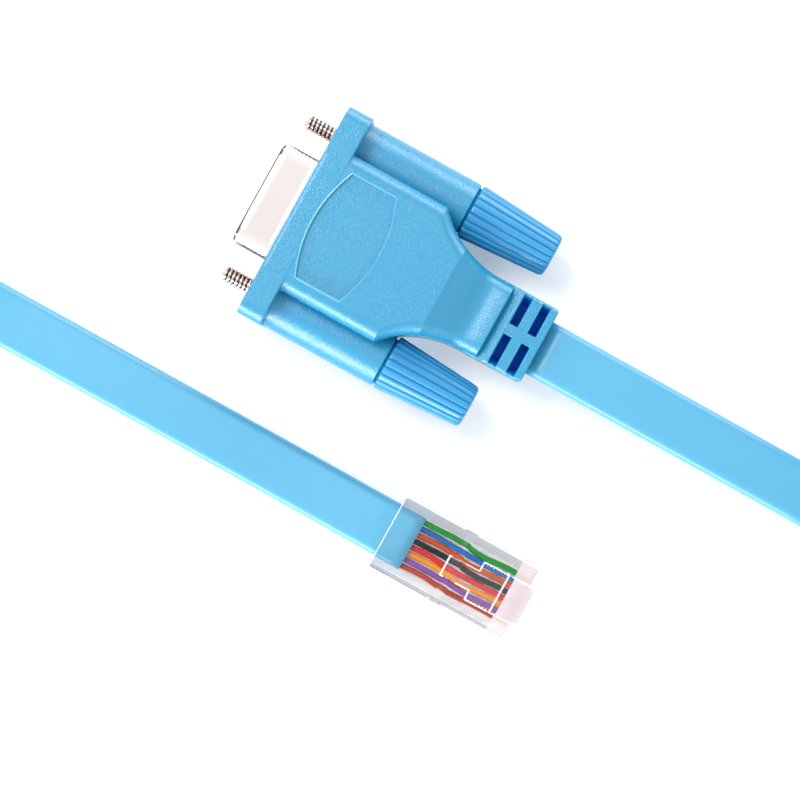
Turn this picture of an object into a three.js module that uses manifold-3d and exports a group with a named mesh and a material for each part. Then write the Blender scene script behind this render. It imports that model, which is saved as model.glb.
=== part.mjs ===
// Flat console cable: a moulded nine-way socket hood with two thumbscrews, a light blue flat
// cable with its spare length in a tied coil, and a clear eight-way modular plug.
// Millimetres, +Z up. X runs along the hood from its mating end to its cable end.
// The origin is on the floor, under the middle of the hood and its shell.
import * as THREE from 'three';
import { mergeVertices } from 'three/addons/utils/BufferGeometryUtils.js';
import Module from 'manifold-3d';

const wasm = await Module();
wasm.setup();

// Fit between neighbouring pieces
const gap = 0.3;
const fineGap = 0.1;

// How far joined solids run into each other, and cuts run past a face
const overlap = 1;

// Hood moulding
const hoodHeight = 15.5;
const flangeWidth = 33.5;
const flangeThickness = 3.85;
const flangeCorner = 2.2;
const bodyWidth = 21.8;
const bodyCorner = 1.6;
const bodyLength = 15.2;
const topLength = 20.4;
const neckLength = 33;
const reliefWidth = 12;
const reliefHeight = 8;
const reliefCorner = 1;
const reliefEndRound = 0.5;
const neckRise = 0.8;
const neckSweep = 2;
const waistSweep = 3;
const barrelRadius = 4.1;
const barrelLength = 17.95;

// Ribs and windows of the strain relief, counted along the cable
const firstRib = 1.85;
const windowWidth = 1.25;
const middleRib = 1.7;
const lastRib = 1.25;
const windowDepth = 2.9;
const windowSideWall = 1;
const bridgeWidth = 1.7;

// Badge recess on top of the hood
const badgeWidth = 16.6;
const badgeEndLength = 7;
const badgeBow = 1.8;
const badgeDepth = 0.35;
const badgeSetback = 5.1;

// Nine-way socket
const shellProtrusion = 5.9;
const shellWidth = 16.33;
const shellHeight = 7.9;
const shellSlant = 10;
const shellCorner = 2.4;
const shellWall = 0.5;
const plateWidth = 30.8;
const plateHeight = 12.5;
const plateThickness = 0.8;
const plateCorner = 2.5;
const shellBack = 4.5;
const insertBack = 3;
const contactRowGap = 2.84;
const contactsPerWidth = 0.16963;
const contactDiameter = 1.6;
const contactBore = 1.02;
const contactLength = 7;
const contactFloor = 1;
const contactLip = 0.8;
const entryHole = 1.3;

// Thumbscrews
const screwSpacing = 24.99;
const screwDiameter = 2.84;
const screwProtrusion = 4.9;
const screwTip = 0.4;
const screwInKnob = 9;
const knobLength = 13.65;
const knobNearDiameter = 8.4;
const knobFarDiameter = 6.5;
const knobFlutes = 20;
const fluteDepth = 0.3;
const knobChamfer = 0.45;
const knobGap = 0.3;

// Flat cable
const cableWidth = 8.5;
const cableThickness = 2.5;
const cableEdgeSides = 5;

// Coil of the spare length, turns standing on edge in two layers
const coilCentreX = 100;
const coilCentreY = 33.8;
const coilOuterTurn = 35;
const coilPitch = 3.1;
const coilTurns = 5.5;
const coilLayers = 2;
const coilLayerHeight = 8.8;
const tieWidth = 8;
const tieThickness = 0.7;
const tieLift = 0.7;

// Eight-way modular plug
const plugRearX = 16.8;
const plugY = -33.95;
const plugLength = 22.25;
const plugWidth = 11.68;
const plugFrontHeight = 6.6;
const plugRearHeight = 8;
const plugStepFromFront = 11.9;
const plugStepSlope = 1.4;
const plugCorner = 0.4;
const jacketInPlug = 4.3;
const jacketHeight = 2.9;
const latchWidth = 6.25;
const latchTabWidth = 3.25;
const latchShoulder = 7.9;
const latchRoot = 3.3;
const latchNub = 0.8;
const latchNubHeight = 2;
const latchThickness = 1.3;
const latchLength = 13.6;
const latchRise = 4.3;
const wireCount = 8;
const wirePitch = 1.02;
const wireDiameter = 0.92;
const wireFrontWall = 2.2;
const bladeThickness = 0.3;
const bladeLength = 5.6;
const bladeRecess = 0.5;

// Flat cable from the hood to the coil: x, y, z and the roll, 0 lying flat and 90 on edge
const hoodLeadRoute = [
  [23.4, 0, 7.75, 0], [30, 0, 7.74, 0], [37, 0, 7.68, 0], [44, 0, 7.55, 0], [51, 0, 7.35, 0],
  [58, 0, 7.1, 0], [64, 0, 6.8, 0], [68, 0, 6.55, 3], [72, -0.15, 6.15, 20], [76, -0.5, 5.6, 46],
  [80, -0.85, 5.05, 70], [84, -1.1, 4.6, 85],
];

// Flat cable from the coil round to the plug, in the same form
const plugLeadRoute = [
  [84.5, 68.8, 12.9, 90], [74, 68.7, 12.1, 90], [64, 68.4, 10.4, 90], [54, 68, 8.4, 90],
  [44, 67.6, 6.5, 90], [34, 67.3, 5.1, 90], [22, 67.1, 4.4, 90], [8, 67, 4.25, 90],
  [-8, 67, 4.25, 90], [-24, 67, 4.25, 90], [-40, 67, 4.25, 90], [-54, 67, 4.25, 90],
  [-66, 65.4, 4.25, 90], [-77, 59.6, 4.25, 90], [-85.5, 50.2, 4.25, 90], [-89.6, 38, 4.25, 90],
  [-90, 24, 4.25, 90], [-90, 8, 4.25, 90], [-89, -5, 4.27, 90], [-85.6, -15.5, 4.3, 88],
  [-79.6, -23.6, 4.24, 76], [-71.6, -29.4, 3.82, 54], [-63, -32.7, 2.84, 28], [-55, -33.8, 1.85, 8],
  [-48, -33.95, 1.42, 0], [-38, -33.95, 1.27, 0], [-26, -33.95, 1.27, 0], [-14, -33.95, 1.3, 0],
  [-4, -33.95, 1.45, 0], [4, -33.95, 1.8, 0], [11, -33.95, 2.35, 0], [16.5, -33.95, 2.78, 0],
  [21.1, -33.95, 2.9, 0],
];
const hoodLeadSteps = 16;
const plugLeadSteps = 62;

// Places worked out from the sizes above
const hoodLength = neckLength + firstRib + windowWidth + middleRib + windowWidth + lastRib;
const flangeFront = shellProtrusion - (shellProtrusion + hoodLength) / 2;
const flangeBack = flangeFront + flangeThickness;
const axisHeight = hoodHeight / 2;
const contactPitch = shellWidth * contactsPerWidth;
const reliefEnd = flangeFront + hoodLength;
const barrelEnd = flangeBack + barrelLength;
const screwPlaces = [screwSpacing / 2, -screwSpacing / 2];
const screwHole = screwDiameter / 2 + gap;
const coilSpan = (coilTurns / coilLayers) * coilPitch;
const coilInnerFace = coilOuterTurn - coilSpan - cableThickness / 2;
const coilOuterFace = coilOuterTurn + cableThickness / 2;
const coilHeight = (coilLayers - 1) * coilLayerHeight + cableWidth;
const plugFrontX = plugRearX + plugLength;
const bladeTop = jacketHeight - wireDiameter / 2 - fineGap;

const colours = {
  hood: 0x5cb4e2,
  knob: 0x3f9fdc,
  cable: 0x6cc7f0,
  steel: 0xc9c6c4,
  insulator: 0x1c1d20,
  gold: 0xd8ac52,
  clear: 0xe9eef2,
  tie: 0x24262a,
};
const wireColours = [0x2f9b46, 0x0f78c0, 0xd7691c, 0x141214, 0xe23a31, 0xf2a51c, 0x9a62b4, 0xb65a4c];

const part = new THREE.Group();

function addPiece(name, geometry, colour, roughness, metalness) {
  const material = new THREE.MeshStandardMaterial({ color: colour, roughness, metalness });
  const mesh = new THREE.Mesh(geometry, material);
  mesh.name = name;
  part.add(mesh);
  return mesh;
}

function toSolid(geometry) {
  const bare = geometry.index ? geometry.clone() : geometry;
  bare.deleteAttribute('normal');
  bare.deleteAttribute('uv');
  const merged = mergeVertices(bare, 1e-4);
  return new wasm.Manifold(new wasm.Mesh({
    numProp: 3,
    vertProperties: Float32Array.from(merged.attributes.position.array),
    triVerts: Uint32Array.from(merged.index.array),
  }));
}

function toGeometry(solid) {
  const mesh = solid.getMesh();
  const geometry = new THREE.BufferGeometry();
  geometry.setAttribute('position', new THREE.BufferAttribute(mesh.vertProperties, 3));
  geometry.setIndex(new THREE.BufferAttribute(mesh.triVerts, 1));
  return geometry;
}

// A shape drawn in Y and Z, extruded along X
function alongX(shape, x, length, segments = 6) {
  const options = { depth: length, bevelEnabled: false, curveSegments: segments };
  const geometry = new THREE.ExtrudeGeometry(shape, options);
  const turn = new THREE.Matrix4().makeBasis(
    new THREE.Vector3(0, 1, 0), new THREE.Vector3(0, 0, 1), new THREE.Vector3(1, 0, 0));
  geometry.applyMatrix4(turn);
  geometry.translate(x, 0, 0);
  return geometry;
}

// A shape drawn in X and Z, extruded along Y and centred on it
function alongY(shape, y, width) {
  const options = { depth: width, bevelEnabled: false, curveSegments: 6 };
  const geometry = new THREE.ExtrudeGeometry(shape, options);
  geometry.translate(0, 0, -width / 2);
  const turn = new THREE.Matrix4().makeBasis(
    new THREE.Vector3(1, 0, 0), new THREE.Vector3(0, 0, 1), new THREE.Vector3(0, -1, 0));
  geometry.applyMatrix4(turn);
  geometry.translate(0, y, 0);
  return geometry;
}

function alongZ(shape, z, height, segments = 10) {
  const options = { depth: height, bevelEnabled: false, curveSegments: segments };
  const geometry = new THREE.ExtrudeGeometry(shape, options);
  geometry.translate(0, 0, z);
  return geometry;
}

function block(x0, x1, y0, y1, z0, z1) {
  const geometry = new THREE.BoxGeometry(x1 - x0, y1 - y0, z1 - z0);
  geometry.translate((x0 + x1) / 2, (y0 + y1) / 2, (z0 + z1) / 2);
  return geometry;
}

// A turned piece about a line along X, its outline given as pairs of place along X and radius
function turnedAlongX(outline, y, z, segments) {
  const points = outline.map(([along, radius]) => new THREE.Vector2(radius, along));
  const geometry = new THREE.LatheGeometry(points, segments);
  geometry.rotateZ(-Math.PI / 2);
  geometry.translate(0, y, z);
  return geometry;
}

function rod(x0, x1, radius, y, z, segments) {
  return turnedAlongX([[x0, 0], [x0, radius], [x1, radius], [x1, 0]], y, z, segments);
}

function roundedPolygon(corners, radius) {
  const shape = new THREE.Shape();
  corners.forEach((corner, i) => {
    const before = corners[(i + corners.length - 1) % corners.length];
    const after = corners[(i + 1) % corners.length];
    const toBefore = new THREE.Vector2(before[0] - corner[0], before[1] - corner[1]).normalize();
    const toAfter = new THREE.Vector2(after[0] - corner[0], after[1] - corner[1]).normalize();
    const half = Math.acos(THREE.MathUtils.clamp(toBefore.dot(toAfter), -1, 1)) / 2;
    const reach = radius / Math.tan(half);
    const start = [corner[0] + toBefore.x * reach, corner[1] + toBefore.y * reach];
    const end = [corner[0] + toAfter.x * reach, corner[1] + toAfter.y * reach];
    if (i === 0) {
      shape.moveTo(...start);
    } else {
      shape.lineTo(...start);
    }
    shape.quadraticCurveTo(corner[0], corner[1], end[0], end[1]);
  });
  shape.closePath();
  return shape;
}

function roundedRectangle(width, height, radius, y = 0, z = axisHeight) {
  const w = width / 2;
  const h = height / 2;
  return roundedPolygon([[y - w, z - h], [y + w, z - h], [y + w, z + h], [y - w, z + h]], radius);
}

// The D outline, wide side up, grown outwards on every side
function dOutline(grow) {
  const slant = Math.tan(THREE.MathUtils.degToRad(shellSlant));
  const halfHeight = shellHeight / 2;
  const widen = grow * Math.sqrt(1 + slant * slant);
  const halfCorner = THREE.MathUtils.degToRad((90 - shellSlant) / 2);
  const roundedOff = shellCorner / Math.tan(halfCorner) - shellCorner;
  const widest = shellWidth / 2 + roundedOff;
  const top = widest + widen + slant * grow;
  const bottom = widest - shellHeight * slant + widen - slant * grow;
  return roundedPolygon([
    [-bottom, axisHeight - halfHeight - grow], [bottom, axisHeight - halfHeight - grow],
    [top, axisHeight + halfHeight + grow], [-top, axisHeight + halfHeight + grow],
  ], shellCorner + grow);
}

// One closed skin over a row of rounded oblong sections, each with its place along X
function loft(sections, cornerSteps) {
  const rings = sections.map(({ x, width, height, radius }) => {
    const ring = [];
    const centres = [[1, 1], [-1, 1], [-1, -1], [1, -1]];
    centres.forEach(([sy, sz], quadrant) => {
      for (let i = 0; i <= cornerSteps; i += 1) {
        const angle = ((quadrant + i / cornerSteps) * Math.PI) / 2;
        ring.push([
          x,
          sy * (width / 2 - radius) + radius * Math.cos(angle),
          axisHeight + sz * (height / 2 - radius) + radius * Math.sin(angle),
        ]);
      }
    });
    return ring;
  });
  const positions = rings.flat(2);
  const count = rings[0].length;
  const faces = [];
  for (let r = 0; r < rings.length - 1; r += 1) {
    for (let i = 0; i < count; i += 1) {
      const next = (i + 1) % count;
      const a = r * count + i;
      const b = r * count + next;
      faces.push(a, b, b + count, a, b + count, a + count);
    }
  }
  const last = (rings.length - 1) * count;
  for (let i = 1; i < count - 1; i += 1) {
    faces.push(0, i + 1, i);
    faces.push(last, last + i, last + i + 1);
  }
  const geometry = new THREE.BufferGeometry();
  geometry.setAttribute('position', new THREE.Float32BufferAttribute(positions, 3));
  geometry.setIndex(faces);
  return geometry;
}

// Hood moulding: flange, raised middle, neck and ribbed strain relief
function bodySections() {
  const shoulder = flangeBack + bodyLength;
  const neckEnd = flangeFront + neckLength;
  const topEnd = flangeFront + flangeThickness + topLength;
  const necking = [0, 0.1, 0.22, 0.36, 0.5, 0.66, 0.83, 1];
  const neckWidth = reliefWidth - 0.2;
  const neckHeight = reliefHeight + 2 * neckRise;
  const widthAt = (x) => {
    const t = THREE.MathUtils.clamp((x - shoulder) / (neckEnd - shoulder), 0, 1);
    return neckWidth + (bodyWidth - neckWidth) * (1 - t) ** waistSweep;
  };
  const heightAt = (x) => {
    const t = THREE.MathUtils.clamp((x - topEnd) / (neckEnd - topEnd), 0, 1);
    return neckHeight + (hoodHeight - neckHeight) * (1 - t) ** neckSweep;
  };
  const neckPlaces = necking.map((t) => shoulder + t * (neckEnd - shoulder));
  const places = [flangeFront + overlap, topEnd, ...neckPlaces];
  places.sort((a, b) => a - b);
  return places.map((x) => ({ x, width: widthAt(x), height: heightAt(x), radius: bodyCorner }));
}

function reliefSections() {
  const start = flangeFront + neckLength - overlap;
  const full = { width: reliefWidth, height: reliefHeight, radius: reliefCorner };
  const sections = [{ x: start, ...full }, { x: reliefEnd - reliefEndRound, ...full }];
  const steps = 3;
  for (let i = 1; i <= steps; i += 1) {
    const angle = ((i / steps) * Math.PI) / 2;
    const inset = reliefEndRound * (1 - Math.cos(angle));
    sections.push({
      x: reliefEnd - reliefEndRound * (1 - Math.sin(angle)),
      width: reliefWidth - 2 * inset,
      height: reliefHeight - 2 * inset,
      radius: reliefCorner - inset * 0.5,
    });
  }
  return sections;
}

function badgeOutline() {
  const rear = flangeFront + badgeSetback + badgeEndLength;
  const front = flangeFront + badgeSetback;
  const half = badgeWidth / 2;
  const shape = new THREE.Shape();
  shape.moveTo(front, -half);
  shape.lineTo(rear, -half);
  shape.quadraticCurveTo(rear + 2 * badgeBow, 0, rear, half);
  shape.lineTo(front, half);
  shape.quadraticCurveTo(front - 2 * badgeBow, 0, front, -half);
  return shape;
}

function reliefWindows() {
  const windows = [];
  const first = flangeFront + neckLength + firstRib;
  const starts = [first, first + windowWidth + middleRib];
  const bridge = bridgeWidth / 2;
  const reach = reliefWidth / 2 - windowSideWall;
  const surface = reliefHeight / 2;
  for (const x of starts) {
    for (const [y0, y1] of [[-reach, -bridge], [bridge, reach]]) {
      windows.push(block(x, x + windowWidth, y0, y1, axisHeight + surface - windowDepth, hoodHeight));
      windows.push(block(x, x + windowWidth, y0, y1, 0, axisHeight - surface + windowDepth));
    }
  }
  return windows;
}

function hood() {
  const flange = roundedRectangle(flangeWidth, hoodHeight, flangeCorner);
  let solid = toSolid(alongX(flange, flangeFront, flangeThickness));
  solid = solid.add(toSolid(loft(bodySections(), 3)));
  solid = solid.add(toSolid(loft(reliefSections(), 3)));
  for (const y of screwPlaces) {
    const barrel = rod(flangeFront + overlap, barrelEnd, barrelRadius, y, axisHeight, 32);
    solid = solid.add(toSolid(barrel));
  }
  for (const y of screwPlaces) {
    const hole = rod(flangeFront - overlap, barrelEnd + overlap, screwHole, y, axisHeight, 20);
    solid = solid.subtract(toSolid(hole));
  }
  const plateSpace = roundedRectangle(plateWidth + 2 * gap, plateHeight + 2 * gap, plateCorner + gap);
  const plateSpaceDepth = overlap + plateThickness + gap;
  solid = solid.subtract(toSolid(alongX(plateSpace, flangeFront - overlap, plateSpaceDepth)));
  solid = solid.subtract(toSolid(alongX(dOutline(gap), flangeFront, plateThickness + shellBack + gap)));
  for (const window of reliefWindows()) {
    solid = solid.subtract(toSolid(window));
  }
  solid = solid.subtract(toSolid(alongZ(badgeOutline(), hoodHeight - badgeDepth, 1)));
  return toGeometry(solid);
}

// Nine-way socket: steel shell with its plate, moulded insert and nine socket contacts
function socketShell() {
  const plate = roundedRectangle(plateWidth, plateHeight, plateCorner);
  let solid = toSolid(alongX(plate, flangeFront, plateThickness));
  const front = flangeFront - shellProtrusion;
  const back = flangeFront + plateThickness + shellBack;
  solid = solid.add(toSolid(alongX(dOutline(0), front, back - front)));
  const inside = alongX(dOutline(-shellWall), front - overlap, back - front + 2 * overlap);
  solid = solid.subtract(toSolid(inside));
  const plateBack = flangeFront + plateThickness;
  for (const y of screwPlaces) {
    const hole = rod(flangeFront - overlap, plateBack + overlap, screwHole, y, axisHeight, 20);
    solid = solid.subtract(toSolid(hole));
  }
  return toGeometry(solid);
}

function contactPlaces() {
  const places = [];
  for (const [count, z] of [[5, contactRowGap / 2], [4, -contactRowGap / 2]]) {
    for (let i = 0; i < count; i += 1) {
      places.push([(i - (count - 1) / 2) * contactPitch, axisHeight + z]);
    }
  }
  return places;
}

function socketInsert() {
  const front = flangeFront - shellProtrusion;
  const back = flangeFront + plateThickness + insertBack;
  let solid = toSolid(alongX(dOutline(-shellWall - gap), front, back - front));
  for (const [y, z] of contactPlaces()) {
    const space = contactDiameter / 2 + gap;
    const bore = turnedAlongX([
      [front - overlap, 0], [front - overlap, entryHole / 2], [front + contactLip, entryHole / 2],
      [front + contactLip, space], [back + overlap, space], [back + overlap, 0],
    ], y, z, 10);
    solid = solid.subtract(toSolid(bore));
  }
  return toGeometry(solid);
}

function socketContact(y, z) {
  const start = flangeFront - shellProtrusion + contactLip + gap;
  const end = start + contactLength;
  const outer = contactDiameter / 2;
  const inner = contactBore / 2;
  return turnedAlongX([
    [start, inner], [start, outer], [end, outer], [end, 0],
    [end - contactFloor, 0], [end - contactFloor, inner], [start, inner],
  ], y, z, 10);
}

// Thumbscrews: a fluted knob moulded on the rear of each long screw
function knob(y) {
  const start = barrelEnd + knobGap;
  const radiusAt = (along) => (
    THREE.MathUtils.lerp(knobNearDiameter, knobFarDiameter, along / knobLength) / 2);
  const stations = [
    [0, -knobChamfer], [knobChamfer, 0], [knobLength - knobChamfer, 0], [knobLength, -knobChamfer],
  ];
  const count = knobFlutes * 2;
  const positions = [];
  for (const [along, inset] of stations) {
    for (let i = 0; i < count; i += 1) {
      const angle = (i / count) * Math.PI * 2;
      const radius = radiusAt(along) + inset - (i % 2) * fluteDepth;
      positions.push(start + along, y + radius * Math.cos(angle), axisHeight + radius * Math.sin(angle));
    }
  }
  const faces = [];
  for (let r = 0; r < stations.length - 1; r += 1) {
    for (let i = 0; i < count; i += 1) {
      const a = r * count + i;
      const b = r * count + ((i + 1) % count);
      faces.push(a, b, b + count, a, b + count, a + count);
    }
  }
  const last = (stations.length - 1) * count;
  const nearCentre = stations.length * count;
  positions.push(start, y, axisHeight, start + knobLength, y, axisHeight);
  for (let i = 0; i < count; i += 1) {
    const next = (i + 1) % count;
    faces.push(nearCentre, next, i);
    faces.push(nearCentre + 1, last + i, last + next);
  }
  const geometry = new THREE.BufferGeometry();
  geometry.setAttribute('position', new THREE.Float32BufferAttribute(positions, 3));
  geometry.setIndex(faces);
  const space = rod(start - overlap, start + screwInKnob + gap, screwHole, y, axisHeight, 20);
  return toGeometry(toSolid(geometry).subtract(toSolid(space)));
}

function jackscrew(y) {
  const tip = flangeFront - screwProtrusion;
  const radius = screwDiameter / 2;
  const end = barrelEnd + knobGap + screwInKnob;
  return turnedAlongX([
    [tip, 0], [tip, radius - screwTip], [tip + screwTip, radius], [end, radius], [end, 0],
  ], y, axisHeight, 20);
}

// Flat cable: an oblong section with round edges, carried along a route with its own roll
function cableSection() {
  const flat = (cableWidth - cableThickness) / 2;
  const radius = cableThickness / 2;
  const points = [];
  for (const side of [1, -1]) {
    for (let i = 0; i <= cableEdgeSides; i += 1) {
      const angle = (side > 0 ? -0.5 : 0.5) * Math.PI + (i / cableEdgeSides) * Math.PI;
      points.push(new THREE.Vector2(side * flat + radius * Math.cos(angle), radius * Math.sin(angle)));
    }
  }
  return new THREE.Shape(points);
}

function flatCable(route, steps) {
  const centres = route.map(([x, y, z]) => new THREE.Vector3(x, y, z));
  const curve = new THREE.CatmullRomCurve3(centres, false, 'centripetal');
  const turns = route.map((point) => new THREE.Vector3(point[3], 0, 0));
  const rolls = new THREE.CatmullRomCurve3(turns, false, 'catmullrom', 0.5);
  const geometry = new THREE.ExtrudeGeometry(cableSection(), { depth: 1, steps, bevelEnabled: false });
  const up = new THREE.Vector3(0, 0, 1);
  const place = geometry.attributes.position;
  for (let i = 0; i < place.count; i += 1) {
    const t = curve.getUtoTmapping(Math.round(place.getZ(i) * steps) / steps);
    const centre = curve.getPoint(t);
    const heading = curve.getTangent(t);
    const side = new THREE.Vector3().crossVectors(up, heading).normalize();
    const above = new THREE.Vector3().crossVectors(heading, side);
    const roll = THREE.MathUtils.degToRad(THREE.MathUtils.clamp(rolls.getPoint(t).x, 0, 90));
    const across = side.clone().multiplyScalar(Math.cos(roll)).addScaledVector(above, Math.sin(roll));
    const through = new THREE.Vector3().crossVectors(heading, across);
    centre.addScaledVector(across, place.getX(i)).addScaledVector(through, place.getY(i));
    place.setXYZ(i, centre.x, centre.y, centre.z);
  }
  return geometry;
}

function coilRing() {
  const corner = cableThickness / 2;
  const outline = [];
  const inner = coilInnerFace + corner;
  const outer = coilOuterFace - corner;
  const upper = coilHeight - corner;
  const corners = [
    [inner, corner, Math.PI], [outer, corner, Math.PI * 1.5],
    [outer, upper, 0], [inner, upper, Math.PI / 2],
  ];
  for (const [r, z, from] of corners) {
    for (let i = 0; i <= 2; i += 1) {
      const angle = from + (i * Math.PI) / 4;
      outline.push(new THREE.Vector2(r + corner * Math.cos(angle), z + corner * Math.sin(angle)));
    }
  }
  outline.push(outline[0].clone());
  const ring = new THREE.LatheGeometry(outline, 48);
  ring.rotateX(Math.PI / 2);
  ring.translate(coilCentreX, coilCentreY, 0);
  const half = tieWidth / 2 + gap;
  const notch = block(
    coilCentreX, coilCentreX + coilOuterFace + overlap,
    coilCentreY - half, coilCentreY + half, -overlap, tieThickness + gap);
  return toGeometry(toSolid(ring).subtract(toSolid(notch)));
}

function coilTie() {
  const half = tieWidth / 2;
  const inner = coilCentreX + Math.sqrt(coilInnerFace ** 2 - half ** 2) - gap;
  const outer = coilCentreX + coilOuterFace + gap;
  const top = coilHeight + tieLift + gap;
  const y0 = coilCentreY - half;
  const y1 = coilCentreY + half;
  const around = block(inner - tieThickness, outer + tieThickness, y0, y1, 0, top + tieThickness);
  const inside = block(inner, outer, y0 - overlap, y1 + overlap, tieThickness, top);
  return toGeometry(toSolid(around).subtract(toSolid(inside)));
}

// Modular plug: clear body with its sprung latch, eight wires and eight contact blades
function plugProfile() {
  const step = plugFrontX - plugStepFromFront;
  const shape = new THREE.Shape();
  shape.moveTo(plugRearX, plugCorner);
  shape.lineTo(plugRearX + plugCorner, 0);
  shape.lineTo(plugFrontX - plugCorner, 0);
  shape.lineTo(plugFrontX, plugCorner);
  shape.lineTo(plugFrontX, plugFrontHeight - plugCorner);
  shape.lineTo(plugFrontX - plugCorner, plugFrontHeight);
  shape.lineTo(step + plugStepSlope, plugFrontHeight);
  shape.lineTo(step, plugRearHeight);
  shape.lineTo(plugRearX + plugCorner, plugRearHeight);
  shape.lineTo(plugRearX, plugRearHeight - plugCorner);
  shape.closePath();
  return shape;
}

function latchProfile() {
  const nose = plugFrontX + latchNub;
  const rootX = plugFrontX - latchRoot;
  const tail = nose - latchLength;
  const slope = latchRise / (nose - tail);
  const low = plugFrontHeight - latchNubHeight;
  const shape = new THREE.Shape();
  shape.moveTo(plugFrontX - 0.5, low);
  shape.lineTo(plugFrontX + latchNub * 0.6, low + 0.3);
  shape.quadraticCurveTo(nose, low + 0.6, nose, plugFrontHeight - 0.6);
  shape.quadraticCurveTo(
    nose, plugFrontHeight + latchThickness * 0.4,
    nose - 1.2, plugFrontHeight + latchThickness * 0.8);
  shape.lineTo(tail, plugFrontHeight + latchThickness + slope * (nose - tail));
  shape.lineTo(tail, plugFrontHeight + slope * (nose - tail));
  shape.lineTo(rootX - 0.6, plugFrontHeight + slope * (nose - rootX) * 0.55);
  shape.quadraticCurveTo(rootX, plugFrontHeight + 0.3, rootX, plugFrontHeight - 0.5);
  shape.closePath();
  return shape;
}

function modularPlug() {
  let solid = toSolid(alongY(plugProfile(), plugY, plugWidth));
  let latch = toSolid(alongY(latchProfile(), plugY, latchWidth));
  const shoulderX = plugFrontX - latchShoulder;
  const latchTop = plugFrontHeight + latchThickness + latchRise + overlap;
  const tabSide = (latchWidth - latchTabWidth) / 2;
  for (const side of [-1, 1]) {
    const inner = plugY + (side * latchTabWidth) / 2;
    const outer = inner + side * (tabSide + overlap);
    const [y0, y1] = [Math.min(inner, outer), Math.max(inner, outer)];
    const away = block(plugRearX, shoulderX, y0, y1, 0, latchTop);
    latch = latch.subtract(toSolid(away));
  }
  solid = solid.add(latch);

  const jacketHalf = cableWidth / 2 + gap;
  const jacketEnd = plugRearX + jacketInPlug + gap;
  const floor = jacketHeight - cableThickness / 2 - gap;
  const ceiling = jacketHeight + cableThickness / 2 + gap;
  const rear = block(
    plugRearX - overlap, jacketEnd, plugY - jacketHalf, plugY + jacketHalf, floor, ceiling);
  solid = solid.subtract(toSolid(rear));

  const chamberHalf = (wirePitch * (wireCount - 1) + wireDiameter) / 2 + gap;
  const chamberEnd = plugFrontX - wireFrontWall + fineGap;
  const chamberLow = jacketHeight - wireDiameter / 2 - gap;
  const chamberHigh = jacketHeight + wireDiameter / 2 + gap;
  const chamber = block(
    jacketEnd - overlap, chamberEnd,
    plugY - chamberHalf, plugY + chamberHalf, chamberLow, chamberHigh);
  solid = solid.subtract(toSolid(chamber));

  for (let i = 0; i < wireCount; i += 1) {
    const y = wireY(i);
    const half = bladeThickness / 2 + fineGap;
    const slotRear = plugFrontX - bladeLength - bladeRecess - fineGap;
    const slot = block(
      slotRear, plugFrontX + overlap, y - half, y + half, -overlap, bladeTop + fineGap);
    solid = solid.subtract(toSolid(slot));
  }
  return toGeometry(solid);
}

function wireY(index) {
  return plugY + (index - (wireCount - 1) / 2) * wirePitch;
}

function plugWire(index) {
  const start = plugRearX + jacketInPlug + gap;
  const end = plugFrontX - wireFrontWall - fineGap;
  return rod(start, end, wireDiameter / 2, wireY(index), jacketHeight, 8);
}

function plugBlade(index) {
  const front = plugFrontX - bladeRecess;
  const shape = new THREE.Shape();
  shape.moveTo(front - bladeLength, bladeRecess + 0.4);
  shape.lineTo(front - bladeLength + 0.5, bladeRecess);
  shape.lineTo(front - 0.9, bladeRecess);
  shape.quadraticCurveTo(front, bladeRecess, front, bladeRecess + 0.9);
  shape.lineTo(front, bladeTop);
  shape.lineTo(front - bladeLength, bladeTop);
  shape.closePath();
  return alongY(shape, wireY(index), bladeThickness);
}

addPiece('hood', hood(), colours.hood, 0.6, 0);
addPiece('d_shell', socketShell(), colours.steel, 0.3, 1);
addPiece('socket_insert', socketInsert(), colours.insulator, 0.5, 0);
contactPlaces().forEach(([y, z], i) => {
  addPiece(`socket_contact_${i + 1}`, socketContact(y, z), colours.gold, 0.3, 1);
});
for (const [side, y] of [['left', screwPlaces[0]], ['right', screwPlaces[1]]]) {
  addPiece(`knob_${side}`, knob(y), colours.knob, 0.5, 0);
  addPiece(`jackscrew_${side}`, jackscrew(y), colours.steel, 0.3, 1);
}

addPiece('cable_from_hood', flatCable(hoodLeadRoute, hoodLeadSteps), colours.cable, 0.45, 0);
addPiece('cable_coil', coilRing(), colours.cable, 0.45, 0);
addPiece('cable_to_plug', flatCable(plugLeadRoute, plugLeadSteps), colours.cable, 0.45, 0);
addPiece('coil_tie', coilTie(), colours.tie, 0.8, 0);

addPiece('modular_plug', modularPlug(), colours.clear, 0.1, 0);
for (let i = 0; i < wireCount; i += 1) {
  addPiece(`plug_contact_${i + 1}`, plugBlade(i), colours.gold, 0.25, 1);
  addPiece(`wire_${i + 1}`, plugWire(i), wireColours[wireCount - 1 - i], 0.5, 0);
}

export default part;
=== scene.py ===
import math

import bpy
import numpy as np
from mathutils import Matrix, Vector


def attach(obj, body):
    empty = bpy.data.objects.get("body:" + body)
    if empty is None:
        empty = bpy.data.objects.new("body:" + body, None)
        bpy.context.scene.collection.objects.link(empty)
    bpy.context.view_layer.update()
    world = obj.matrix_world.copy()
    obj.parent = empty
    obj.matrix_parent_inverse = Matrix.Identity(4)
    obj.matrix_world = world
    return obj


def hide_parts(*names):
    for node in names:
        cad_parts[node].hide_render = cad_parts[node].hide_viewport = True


# Sizes are in millimetres up to the point where a mesh is made
MM = 0.001

# Room round a screw in its bore, and the roundness of small edges and inner corners
SCREW_ROOM = 0.3
EDGE_ROUND = 0.15
INNER_FILLET = 0.1

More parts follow.
